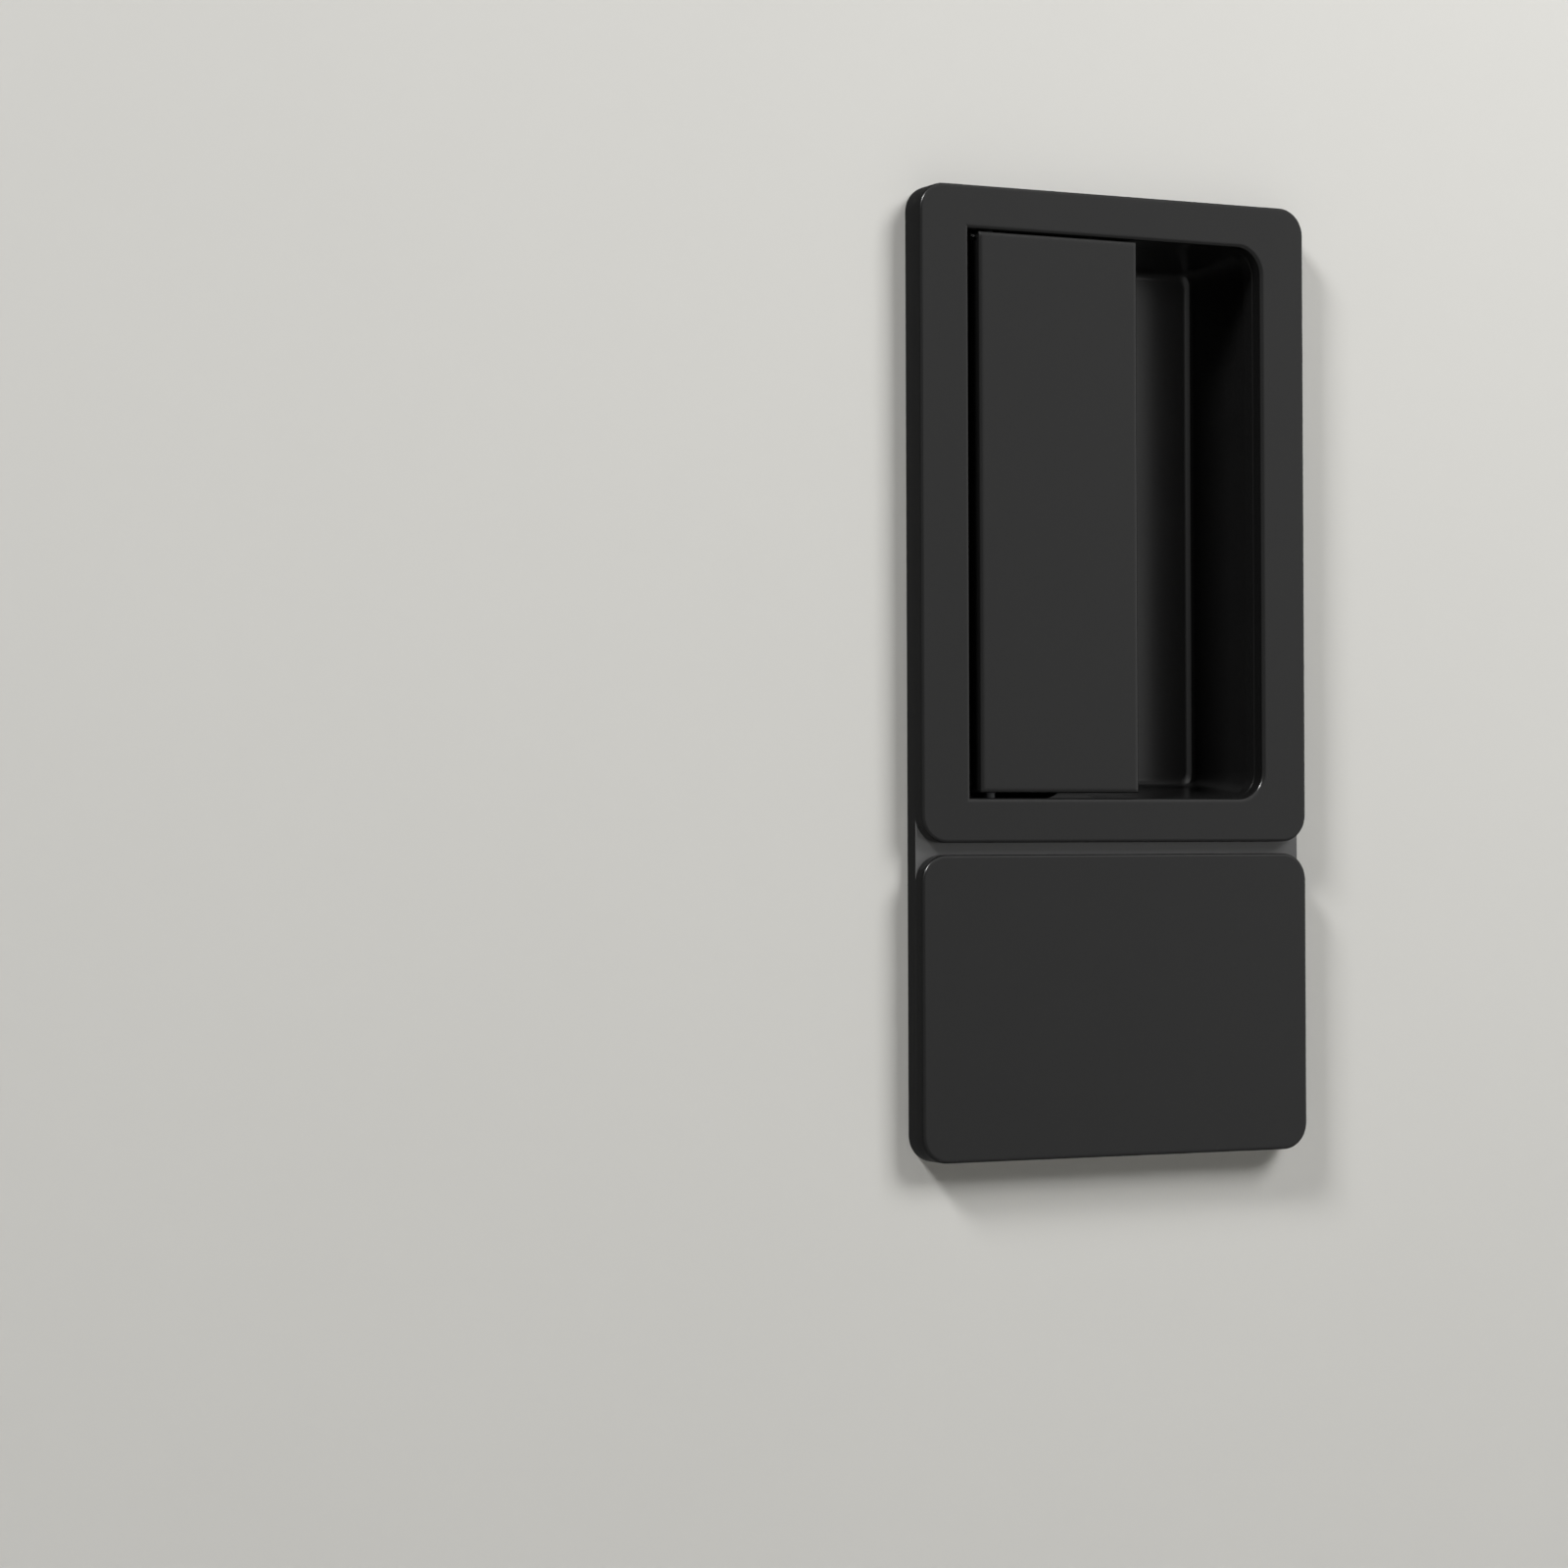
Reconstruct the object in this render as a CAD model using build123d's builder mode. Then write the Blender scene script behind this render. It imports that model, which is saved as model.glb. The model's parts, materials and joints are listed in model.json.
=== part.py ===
"""Magnetic door latch with a flush paddle, a finger pocket and a sliding key cover.

X runs to the right as the latch is seen, Y runs into the door and Z is up. The origin lies on the
door face, on the centre line of the plate, midway in the groove between face frame and key cover.
"""

import os
from math import cos, radians, sin, tan

from build123d import *

# Base plate, face frame and key cover
plate_width = 74
base_thickness = 2.6
cover_thickness = 2.6
frame_height = 107.7
cover_height = 50.2
groove_width = 2
corner_radius = 4.5
face_edge_radius = 0.5
base_edge_radius = 0.4

# Window in the frame, and the finger pocket behind it
frame_hinge_side = 9.05
frame_finger_side = 8.6
frame_top = 7.2
frame_bottom = 7.3
window_radius = 4.5
window_edge_radius = 0.7
pocket_depth = 19
pocket_draft = 9.5
pocket_reach = 9.3
pocket_mouth_radius = 0.3
pocket_floor_radius = 1.5
cup_wall = 1.6

# Paddle and its hinge
paddle_width = 30.05
paddle_thickness = 3.2
paddle_top_gap = 0.3
paddle_foot_gap = 0.9
paddle_hinge_gap = 1.9
paddle_edge_radius = 0.45
paddle_open_angle = 30
grip_width = 3
grip_depth = 2.2
hinge_inset = 2.9
knuckle_wall = 1.35
pin_radius = 1
pin_hold = 4.5
pin_chamfer = 0.25
pin_seat_clearance = 0.02
shaft_clearance = 0.05
arm_width = 8
arm_tip_radius = 2
arm_slot_clearance = 0.4
spring_post_radius = 1.05
spring_post_reach = 9
spring_post_height = 2.4

# Paddle spring and buffers
paddle_wire = 0.5
paddle_coil_clearance = 0.12
paddle_coil_pitch = 0.65
paddle_coil_turns = 4 + 2 / 3
coil_room = 0.22
coil_bay_height = 6
coil_bay_rise = 0.8
spring_leg_gap = 1.6
buffer_width = 1.5
buffer_length = 10
buffer_spacing = 60

# Screws
frame_screw_radius = 1.25
frame_screw_head_radius = 2.3
frame_screw_grip = 1.8
frame_screw_inset = 4
case_screw_radius = 1.5
case_screw_head_radius = 2.9
case_screw_length = 9
forend_screw_radius = 1.5
forend_screw_head_radius = 2.9
forend_screw_length = 5
screw_clearance = 0.1
socket_share = 0.5

# Sliding key cover
cover_gap = 0.1
cover_travel = 30
stud_radius = 2
stud_spacing = 48
stud_drop = 9
stud_bite = 1.3
slide_width = 9
slide_height = 10
slide_thickness = 1.1
channel_depth = 1.4
slide_clearance = 0.15
magnet_radius = 4
magnet_thickness = 1.4
keeper_thickness = 1
magnet_spacing = 24
magnet_rise = 6

# Fixing posts for the bolts that come through the door
post_radius = 3.5
post_draft = 1.5
post_hole_radius = 1.65
post_hole_depth = 6
post_reach = 22
post_inset_top = 10.8
post_inset_bottom = 4.9

# Mortise case and forend
backset = 60
centre_distance = 72
case_thickness = 14
case_wall = 1.5
case_back = 18
case_corner_radius = 4
case_bend_radius = 1.2
lid_edge_radius = 0.4
case_head_room = 20.6
case_foot_room = 3.1
lid_post_radius = 2.8
lid_post_inset = 7
lid_post_setback = 11
forend_thickness = 3
forend_width = 22
forend_height = 143
forend_drop = 50.8
forend_corner_radius = 3
forend_edge_radius = 0.5
forend_hole_radius = 2.2
forend_hole_head_radius = 4.1
forend_hole_inset = 6.5

# Latch bolt and deadbolt
bolt_height = 18
bolt_thickness = 10.4
bolt_clearance = 0.3
latch_throw = 12
latch_length = 22
latch_nose_radius = 2.4
latch_edge_radius = 0.5
latch_magnet_radius = 3.4
latch_magnet_length = 8
latch_magnet_chamfer = 0.3
carrier_height = 10
carrier_thickness = 2
carrier_lap = 10
carrier_gap = 0.6
lug_length = 4
lug_play = 0.5
rivet_radius = 1.25
rivet_spacing = 5
ear_thickness = 1.6
ear_setback = 10
ear_rise = 14
ear_margin = 3.4
guide_radius = 1.2
guide_length = 13.5
guide_chamfer = 0.4
latch_wire = 0.6
latch_coil_radius = 2.2
latch_coil_turns = 6.5
deadbolt_length = 22
deadbolt_sink = 0.2
deadbolt_edge_radius = 0.6
deadbolt_rise = 27.6
tail_height = 12
tail_thickness = 3
tooth_width = 4
fork_clearance = 0.6

# Key cylinder
cylinder_radius = 7.5
cylinder_chamfer = 0.4
cylinder_tail_radius = 4.5
cylinder_tail_drop = 16
cylinder_clearance = 0.15
cylinder_sink = 1.2
cylinder_rear = 10.6
plug_radius = 5.5
keyway_width = 1.5
keyway_height = 7.4
keyway_ward = 1.1
keyway_depth = 18
cam_length = 8.6
cam_room = 0.2
cam_hub_radius = 6.5
cam_hub_room = 2.5
cam_opening = 30
cam_reach = 12.7
cam_lever_width = 3
cam_tip_radius = 2.5
cam_swing = 80
cylinder_screw_radius = 2.4
cylinder_screw_head_radius = 4
cylinder_screw_bite = 4.5

# Levels in depth: negative in front of the door face, positive inside the door
base_face = -base_thickness
front_face = base_face - cover_thickness
pocket_floor = front_face + pocket_depth
cup_back = pocket_floor + cup_wall
case_floor = cup_back + case_wall
lid_front = cup_back + case_thickness - case_wall
lid_back = cup_back + case_thickness
lock_middle = (case_floor + lid_front) / 2

# Outline of plate and window
frame_low = groove_width / 2
frame_high = frame_low + frame_height
cover_high = -groove_width / 2
cover_low = cover_high - cover_height
plate_height = frame_high - cover_low
plate_middle = (frame_high + cover_low) / 2
window_left = -plate_width / 2 + frame_hinge_side
window_right = plate_width / 2 - frame_finger_side
window_low = frame_low + frame_bottom
window_high = frame_high - frame_top
window_width = window_right - window_left
window_height = window_high - window_low
window_middle = (window_low + window_high) / 2
frame_screw_x = plate_width / 2 - frame_screw_inset
frame_screw_low = frame_low + frame_screw_inset
frame_screw_high = frame_high - frame_screw_inset

# Paddle
paddle_left = window_left + paddle_hinge_gap
paddle_right = paddle_left + paddle_width
paddle_low = window_low + paddle_foot_gap
paddle_high = window_high - paddle_top_gap
paddle_back = front_face + paddle_thickness
pin_x = paddle_left + hinge_inset
bore_radius = pin_radius + shaft_clearance
knuckle_radius = bore_radius + knuckle_wall
pin_length = window_height + 2 * pin_hold
arm_length = lock_middle - base_face
arm_low = window_middle - arm_width / 2
arm_high = window_middle + arm_width / 2
swing = radians(paddle_open_angle)
coil_radius = pin_radius + paddle_coil_clearance + paddle_wire / 2
coil_bay_low = arm_high + coil_bay_rise
coil_height = paddle_coil_pitch * paddle_coil_turns

# Finger pocket, and the bay of the drive arm beside it
pocket_left = paddle_right - pocket_reach
bay_right = pocket_left - cup_wall
arm_slot_left = pin_x - knuckle_radius - arm_slot_clearance
arm_slot_right = pin_x + arm_length * sin(swing) + arm_tip_radius + arm_slot_clearance
arm_slot_height = arm_width + 2 * arm_slot_clearance
cup_slot_right = (
    pin_x
    + (cup_back - base_face) * tan(swing)
    + knuckle_radius / cos(swing)
    + arm_slot_clearance
)

# Key cylinder, bolts and case
plug_z = window_middle - centre_distance
tail_z = plug_z - cylinder_tail_drop
latch_z = window_middle
deadbolt_z = plug_z + deadbolt_rise
forend_left = -backset
case_left = forend_left + forend_thickness
case_right = case_back
case_low = tail_z - cylinder_tail_radius - case_foot_room
case_high = latch_z + case_head_room
case_width = case_right - case_left
case_height = case_high - case_low
case_x = (case_left + case_right) / 2
case_z = (case_low + case_high) / 2
forend_low = -forend_drop
forend_high = forend_low + forend_height
forend_z = (forend_low + forend_high) / 2
forend_hole_spacing = forend_height - 2 * forend_hole_inset
left_post_x = case_left + lid_post_setback
right_post_x = case_right - lid_post_inset
lid_posts = (
    (left_post_x, (latch_z + deadbolt_z) / 2),
    (left_post_x, (deadbolt_z + tail_z) / 2),
    (right_post_x, case_high - lid_post_inset),
    (right_post_x, case_low + lid_post_inset),
)
forend_screw_places = (
    (latch_z + deadbolt_z) / 2,
    (deadbolt_z + tail_z) / 2,
)
latch_nose = forend_left - latch_throw
latch_rear = latch_nose + latch_length
carrier_front = lock_middle + arm_tip_radius + carrier_gap
carrier_left = latch_rear - carrier_lap
lug_left = pin_x + arm_tip_radius + lug_play
carrier_right = lug_left + lug_length
ear_left = latch_rear + ear_setback
guide_z = latch_z + ear_rise
half_swing = radians(cam_swing / 2)
cam_tip_x = cam_reach * sin(half_swing)
cam_tip_low = plug_z + cam_reach * cos(half_swing)
deadbolt_nose = forend_left + deadbolt_sink
deadbolt_rear = deadbolt_nose + deadbolt_length
fork_half = cam_tip_radius + fork_clearance
tooth_low = cam_tip_low - fork_clearance
tail_low = deadbolt_z - tail_height / 2
tail_right = cam_tip_x + fork_half + tooth_width
cam_front = lock_middle - cam_length / 2
cam_gap = cam_length + 2 * cam_room
cylinder_front = base_face + cylinder_sink
cylinder_back = lock_middle + cylinder_rear

# Key cover
cover_back = base_face - cover_gap
stud_z = cover_high - stud_drop
slide_front = -channel_depth + slide_clearance
magnet_z = cover_low + magnet_rise
post_high_z = window_high - post_inset_top
post_low_z = cover_low + post_inset_bottom


def at_depth(y):
    """Plane that faces the viewer at this depth, with X to the right and Z up."""
    return Plane.XZ.offset(-y)


def from_behind(x, y, z):
    """Plane at a point that faces into the door."""
    return Plane(origin=(x, y, z), x_dir=(1, 0, 0), z_dir=(0, 1, 0))


def from_edge(x, z=0):
    """Plane that faces the edge of the door, centred on the thickness of the lock."""
    return Plane(origin=(x, lock_middle, z), x_dir=(0, -1, 0), z_dir=(-1, 0, 0))


def window_outline():
    """Window of the frame: square corners at the hinge, round ones at the fingers."""
    with Locations(((window_left + window_right) / 2, window_middle)):
        outline = Rectangle(window_width, window_height)
    fillet(outline.vertices().group_by(Axis.X)[-1], window_radius)


def upright_rectangle(left, right, low, high, radius):
    """Rectangle between these limits with rounded corners."""
    with Locations(((left + right) / 2, (low + high) / 2)):
        RectangleRounded(right - left, high - low, radius)


def cylinder_outline(clearance=0):
    """Round head and narrow tail of the profile cylinder."""
    with Locations((0, plug_z)):
        Circle(cylinder_radius + clearance)
    with Locations((0, tail_z)):
        Circle(cylinder_tail_radius + clearance)
    with Locations((0, (plug_z + tail_z) / 2)):
        Rectangle(2 * (cylinder_tail_radius + clearance), plug_z - tail_z)


def case_outline(wall=0):
    """Outline of case and lid: square corners at the forend, round ones at the far end."""
    with Locations((case_x, case_z)):
        outline = Rectangle(case_width - 2 * wall, case_height - 2 * wall)
    fillet(outline.vertices().group_by(Axis.X)[-1], case_corner_radius - wall)


def countersunk_screw(place, radius, head_radius, length):
    """Screw with its flat head on this plane, a hexagon socket and its shank into the work."""
    cone = head_radius - radius
    with BuildSketch(place) as shank:
        Circle(radius)
    with BuildSketch(place) as head:
        Circle(head_radius)
    with BuildSketch(place) as socket:
        RegularPolygon(radius * 2 * socket_share, 6)
    extrude(shank.sketch, amount=-length)
    extrude(head.sketch, amount=-cone, taper=45)
    extrude(socket.sketch, amount=-cone, mode=Mode.SUBTRACT)


def save(piece, name):
    """Label the piece and write it out."""
    piece.part.label = name
    export_step(piece.part, f"parts/{name}.step")


os.makedirs("parts", exist_ok=True)

# Die-cast base: full-length plate, drafted cup with the finger pocket and the bay of the drive arm
with BuildPart() as base_plate:
    with BuildSketch(at_depth(0)):
        with Locations((0, plate_middle)):
            RectangleRounded(plate_width, plate_height, corner_radius)
    extrude(amount=base_thickness)
    fillet(base_plate.faces().sort_by(Axis.Y)[0].edges(), base_edge_radius)
    with BuildSketch(at_depth(0)):
        upright_rectangle(
            window_left - cup_wall,
            window_right + cup_wall,
            window_low - cup_wall,
            window_high + cup_wall,
            window_radius + cup_wall,
        )
    extrude(amount=-cup_back, taper=pocket_draft)
    with BuildSketch(at_depth(0)):
        window_outline()
    extrude(amount=base_thickness, mode=Mode.SUBTRACT)
    fillet(base_plate.faces().sort_by(Axis.Y)[0].inner_wires().edges(), pocket_mouth_radius)
    with BuildSketch(at_depth(0)):
        upright_rectangle(pocket_left, window_right, window_low, window_high, window_radius)
    extrude(amount=-pocket_floor, taper=pocket_draft, mode=Mode.SUBTRACT)
    pocket_middle = ((pocket_left + window_right) / 2, pocket_floor, window_middle)
    floor = base_plate.faces().sort_by_distance(pocket_middle)[0]
    fillet(floor.edges(), pocket_floor_radius)
    with BuildSketch(at_depth(0)):
        upright_rectangle(window_left, bay_right, window_low, window_high, window_radius)
    extrude(amount=-pocket_floor, taper=pocket_draft, mode=Mode.SUBTRACT)
    with BuildSketch(at_depth(pocket_floor)):
        with Locations(((arm_slot_left + cup_slot_right) / 2, window_middle)):
            Rectangle(cup_slot_right - arm_slot_left, arm_slot_height)
    extrude(amount=-cup_wall, mode=Mode.SUBTRACT)
    with BuildSketch(Plane.XY.offset(window_middle - pin_length / 2)):
        with Locations((pin_x, base_face)):
            Circle(pin_radius + pin_seat_clearance)
    extrude(amount=pin_length, mode=Mode.SUBTRACT)
    for x in (-frame_screw_x, frame_screw_x):
        for z in (frame_screw_low, frame_screw_high):
            with Locations(from_behind(x, 0, z)):
                CounterSinkHole(
                    frame_screw_radius + screw_clearance,
                    frame_screw_head_radius + screw_clearance,
                    base_thickness,
                    90,
                )
    with BuildSketch(at_depth(0)):
        cylinder_outline(cylinder_clearance)
    extrude(amount=base_thickness, mode=Mode.SUBTRACT)
    with BuildSketch(at_depth(0)):
        with GridLocations(stud_spacing, 0, 2, 1):
            with Locations((0, stud_z - cover_travel / 2)):
                SlotCenterToCenter(cover_travel, 2 * (stud_radius + slide_clearance), rotation=90)
    extrude(amount=base_thickness, mode=Mode.SUBTRACT)
    with BuildSketch(at_depth(0)):
        with GridLocations(stud_spacing, 0, 2, 1):
            with Locations((0, stud_z - cover_travel / 2)):
                Rectangle(
                    slide_width + 2 * slide_clearance,
                    slide_height + cover_travel + 2 * slide_clearance,
                )
    extrude(amount=channel_depth, mode=Mode.SUBTRACT)
    with BuildSketch(at_depth(base_face)):
        with Locations((0, magnet_z)):
            with GridLocations(magnet_spacing, 0, 2, 1):
                Circle(magnet_radius + pin_seat_clearance)
    extrude(amount=-keeper_thickness, mode=Mode.SUBTRACT)
    for z, root in ((post_high_z, cup_back), (post_low_z, 0)):
        with BuildSketch(at_depth(root)):
            with Locations((0, z)):
                Circle(post_radius)
        extrude(amount=root - post_reach, taper=post_draft)
        with Locations(from_behind(0, post_reach, z)):
            Hole(post_hole_radius, post_hole_depth)
save(base_plate, "base_plate")

# Face frame, with half-round seats for the hinge pin and blind holes for its screws
with BuildPart() as face_frame:
    with BuildSketch(at_depth(base_face)):
        with Locations((0, frame_low + frame_height / 2)):
            RectangleRounded(plate_width, frame_height, corner_radius)
    extrude(amount=cover_thickness)
    fillet(face_frame.faces().sort_by(Axis.Y)[0].edges(), face_edge_radius)
    with BuildSketch(at_depth(base_face)):
        window_outline()
    extrude(amount=cover_thickness, mode=Mode.SUBTRACT)
    fillet(face_frame.faces().sort_by(Axis.Y)[0].inner_wires().edges(), window_edge_radius)
    with BuildSketch(Plane.XY.offset(window_middle - pin_length / 2)):
        with Locations((pin_x, base_face)):
            Circle(pin_radius + pin_seat_clearance)
    extrude(amount=pin_length, mode=Mode.SUBTRACT)
    for x in (-frame_screw_x, frame_screw_x):
        for z in (frame_screw_low, frame_screw_high):
            with Locations(from_behind(x, base_face, z)):
                Hole(frame_screw_radius + pin_seat_clearance, frame_screw_grip + screw_clearance)
save(face_frame, "face_frame")

with BuildPart() as frame_screws:
    for x in (-frame_screw_x, frame_screw_x):
        for z in (frame_screw_low, frame_screw_high):
            countersunk_screw(
                from_behind(x, 0, z),
                frame_screw_radius,
                frame_screw_head_radius,
                base_thickness + frame_screw_grip,
            )
save(frame_screws, "frame_screws")

# Paddle: flat plate with a grip lip, a knuckle along the hinge and a drive arm into the lock case
with BuildPart() as paddle:
    with BuildSketch(Plane.XY.offset(paddle_low)):
        with Locations((paddle_left + paddle_width / 2, front_face + paddle_thickness / 2)):
            Rectangle(paddle_width, paddle_thickness)
        with Locations((pin_x, base_face)):
            Circle(knuckle_radius)
        with BuildLine():
            Polyline(
                (paddle_right, front_face),
                (paddle_right, paddle_back + grip_depth),
                (paddle_right - grip_width, paddle_back + grip_depth),
                (paddle_right - 2 * grip_width, paddle_back),
                (paddle_right - 2 * grip_width, front_face),
                close=True,
            )
        make_face()
    extrude(amount=paddle_high - paddle_low)
    fillet(paddle.faces().sort_by(Axis.Y)[0].edges(), paddle_edge_radius)
    fillet(paddle.faces().sort_by(Axis.Y)[-1].edges(), paddle_edge_radius)
    with BuildSketch(Plane.XY.offset(arm_low)):
        with Locations((pin_x, base_face)):
            root = Circle(knuckle_radius)
        with Locations((pin_x, lock_middle)):
            tip = Circle(arm_tip_radius)
        make_hull(root.edges() + tip.edges())
    extrude(amount=arm_width)
    with BuildSketch(Plane.XY.offset(coil_bay_low)):
        with Locations((pin_x, base_face)):
            Circle(coil_radius + paddle_wire / 2 + coil_room)
        with Locations((pin_x, base_face + knuckle_radius)):
            Rectangle(2 * (knuckle_radius + coil_room), 2 * knuckle_radius)
    extrude(amount=coil_bay_height, mode=Mode.SUBTRACT)
    with BuildSketch(Plane.XY.offset(arm_high)):
        with Locations((pin_x, base_face + spring_post_reach)):
            Circle(spring_post_radius)
    extrude(amount=spring_post_height)
    with BuildSketch(Plane.XY.offset(paddle_low)):
        with Locations((pin_x, base_face)):
            Circle(bore_radius)
    extrude(amount=paddle_high - paddle_low, mode=Mode.SUBTRACT)
save(paddle, "paddle")

with BuildPart() as hinge_pin:
    with BuildSketch(Plane.XY.offset(window_middle - pin_length / 2)):
        with Locations((pin_x, base_face)):
            Circle(pin_radius)
    extrude(amount=pin_length)
    chamfer(hinge_pin.edges().filter_by(GeomType.CIRCLE), pin_chamfer)
save(hinge_pin, "hinge_pin")

# Torsion spring round the pin: one leg on the post of the drive arm, the other on the bay wall
with BuildPart() as paddle_spring:
    coil_start = coil_bay_low + (coil_bay_height - coil_height) / 2
    with BuildLine() as coil:
        Helix(
            paddle_coil_pitch,
            coil_height,
            coil_radius,
            center=(pin_x, base_face, coil_start),
            lefthand=True,
        )
    with BuildSketch(Plane(coil.line @ 0, x_dir=(0, 0, 1), z_dir=coil.line % 0)):
        Rectangle(paddle_wire, paddle_wire)
    sweep(path=coil.line, is_frenet=True)
    drive_leg = spring_post_reach + spring_post_radius
    with BuildSketch(Plane(coil.line @ 0, x_dir=(0, 0, 1), z_dir=(0, 1, 0))):
        Rectangle(paddle_wire, paddle_wire)
    extrude(amount=drive_leg)
    rest_leg = bay_right - pin_x - spring_leg_gap
    with BuildSketch(Plane(coil.line @ 1, x_dir=(0, 0, 1), z_dir=coil.line % 1)):
        Rectangle(paddle_wire, paddle_wire)
    extrude(amount=rest_leg)
save(paddle_spring, "paddle_spring")

with BuildPart() as paddle_buffers:
    with BuildSketch(at_depth(0)):
        with Locations(((pocket_left + bay_right) / 2, window_middle)):
            with GridLocations(0, buffer_spacing, 1, 2):
                SlotOverall(buffer_length, buffer_width, rotation=90)
    extrude(amount=-paddle_back)
save(paddle_buffers, "paddle_buffers")

# Key cover with blind seats for its studs and magnets
with BuildPart() as key_cover:
    with BuildSketch(at_depth(cover_back)):
        with Locations((0, cover_low + cover_height / 2)):
            RectangleRounded(plate_width, cover_height, corner_radius)
    extrude(amount=cover_back - front_face)
    fillet(key_cover.faces().sort_by(Axis.Y)[0].edges(), face_edge_radius)
    with BuildSketch(at_depth(cover_back)):
        with Locations((0, stud_z)):
            with GridLocations(stud_spacing, 0, 2, 1):
                Circle(stud_radius + pin_seat_clearance)
    extrude(amount=stud_bite, mode=Mode.SUBTRACT)
    with BuildSketch(at_depth(cover_back)):
        with Locations((0, magnet_z)):
            with GridLocations(magnet_spacing, 0, 2, 1):
                Circle(magnet_radius + pin_seat_clearance)
    extrude(amount=magnet_thickness, mode=Mode.SUBTRACT)
save(key_cover, "key_cover")

with BuildPart() as cover_studs:
    with BuildSketch(at_depth(slide_front + slide_thickness)):
        with Locations((0, stud_z)):
            with GridLocations(stud_spacing, 0, 2, 1):
                Circle(stud_radius)
    extrude(amount=slide_front + slide_thickness - cover_back + stud_bite)
save(cover_studs, "cover_studs")

with BuildPart() as cover_slides:
    with BuildSketch(at_depth(slide_front)):
        with Locations((0, stud_z)):
            with GridLocations(stud_spacing, 0, 2, 1):
                RectangleRounded(slide_width, slide_height, stud_radius / 2)
                Circle(stud_radius + pin_seat_clearance, mode=Mode.SUBTRACT)
    extrude(amount=-slide_thickness)
save(cover_slides, "cover_slides")

with BuildPart() as cover_magnets:
    with BuildSketch(at_depth(cover_back)):
        with Locations((0, magnet_z)):
            with GridLocations(magnet_spacing, 0, 2, 1):
                Circle(magnet_radius)
    extrude(amount=magnet_thickness)
save(cover_magnets, "cover_magnets")

with BuildPart() as cover_keepers:
    with BuildSketch(at_depth(base_face)):
        with Locations((0, magnet_z)):
            with GridLocations(magnet_spacing, 0, 2, 1):
                Circle(magnet_radius)
    extrude(amount=-keeper_thickness)
save(cover_keepers, "cover_keepers")

# Mortise case: pressed tray with lid posts, a slot for the drive arm and openings for the bolts
with BuildPart() as lock_case:
    with BuildSketch(at_depth(cup_back)):
        case_outline()
    extrude(amount=cup_back - lid_front)
    bends = lock_case.faces().sort_by(Axis.Y)[0].edges().sort_by(Axis.X)[1:]
    fillet(bends, case_bend_radius)
    with BuildSketch(at_depth(case_floor)):
        case_outline(case_wall)
    extrude(amount=case_floor - lid_front, mode=Mode.SUBTRACT)
    with BuildSketch(at_depth(case_floor)):
        with Locations(lid_posts):
            Circle(lid_post_radius)
    extrude(amount=case_floor - lid_front)
    for x, z in lid_posts:
        with Locations(from_behind(x, lid_front, z)):
            Hole(case_screw_radius + pin_seat_clearance, case_screw_length - case_wall + screw_clearance)
    with BuildSketch(at_depth(case_floor)):
        with Locations(((arm_slot_left + arm_slot_right) / 2, window_middle)):
            Rectangle(arm_slot_right - arm_slot_left, arm_slot_height)
        cylinder_outline(cylinder_clearance)
    extrude(amount=case_wall, mode=Mode.SUBTRACT)
    with BuildSketch(from_edge(case_left)):
        with Locations((0, latch_z), (0, deadbolt_z)):
            Rectangle(bolt_thickness + 2 * bolt_clearance, bolt_height + 2 * bolt_clearance)
        with Locations((0, tail_z)):
            Circle(cylinder_screw_radius + screw_clearance)
        with Locations([(0, z) for z in forend_screw_places]):
            Circle(forend_screw_radius + pin_seat_clearance)
    extrude(amount=-case_wall, mode=Mode.SUBTRACT)
save(lock_case, "lock_case")

with BuildPart() as case_lid:
    with BuildSketch(at_depth(lid_back)):
        case_outline()
    extrude(amount=case_wall)
    rim = case_lid.faces().sort_by(Axis.Y)[-1].edges().sort_by(Axis.X)[1:]
    fillet(rim, lid_edge_radius)
    with BuildSketch(at_depth(lid_back)):
        cylinder_outline(cylinder_clearance)
    extrude(amount=case_wall, mode=Mode.SUBTRACT)
    for x, z in lid_posts:
        with Locations(from_behind(x, lid_back, z)):
            CounterSinkHole(
                case_screw_radius + screw_clearance,
                case_screw_head_radius + screw_clearance,
                case_wall,
                90,
            )
save(case_lid, "case_lid")

with BuildPart() as case_screws:
    for x, z in lid_posts:
        countersunk_screw(
            from_behind(x, lid_back, z),
            case_screw_radius,
            case_screw_head_radius,
            case_screw_length,
        )
save(case_screws, "case_screws")

# Forend in the edge of the door
with BuildPart() as forend:
    with BuildSketch(from_edge(case_left, forend_z)):
        RectangleRounded(forend_width, forend_height, forend_corner_radius)
    extrude(amount=forend_thickness)
    fillet(forend.faces().sort_by(Axis.X)[0].edges(), forend_edge_radius)
    with BuildSketch(from_edge(case_left)):
        with Locations((0, latch_z), (0, deadbolt_z)):
            Rectangle(bolt_thickness + 2 * bolt_clearance, bolt_height + 2 * bolt_clearance)
    extrude(amount=forend_thickness, mode=Mode.SUBTRACT)
    with Locations(from_edge(forend_left, forend_z)):
        with GridLocations(0, forend_hole_spacing, 1, 2):
            CounterSinkHole(forend_hole_radius, forend_hole_head_radius, forend_thickness, 90)
    for z in forend_screw_places:
        with Locations(from_edge(forend_left, z)):
            CounterSinkHole(
                forend_screw_radius + screw_clearance,
                forend_screw_head_radius + screw_clearance,
                forend_thickness,
                90,
            )
    with Locations(from_edge(forend_left, tail_z)):
        CounterSinkHole(
            cylinder_screw_radius + screw_clearance,
            cylinder_screw_head_radius + screw_clearance,
            forend_thickness,
            90,
        )
save(forend, "forend")

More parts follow.
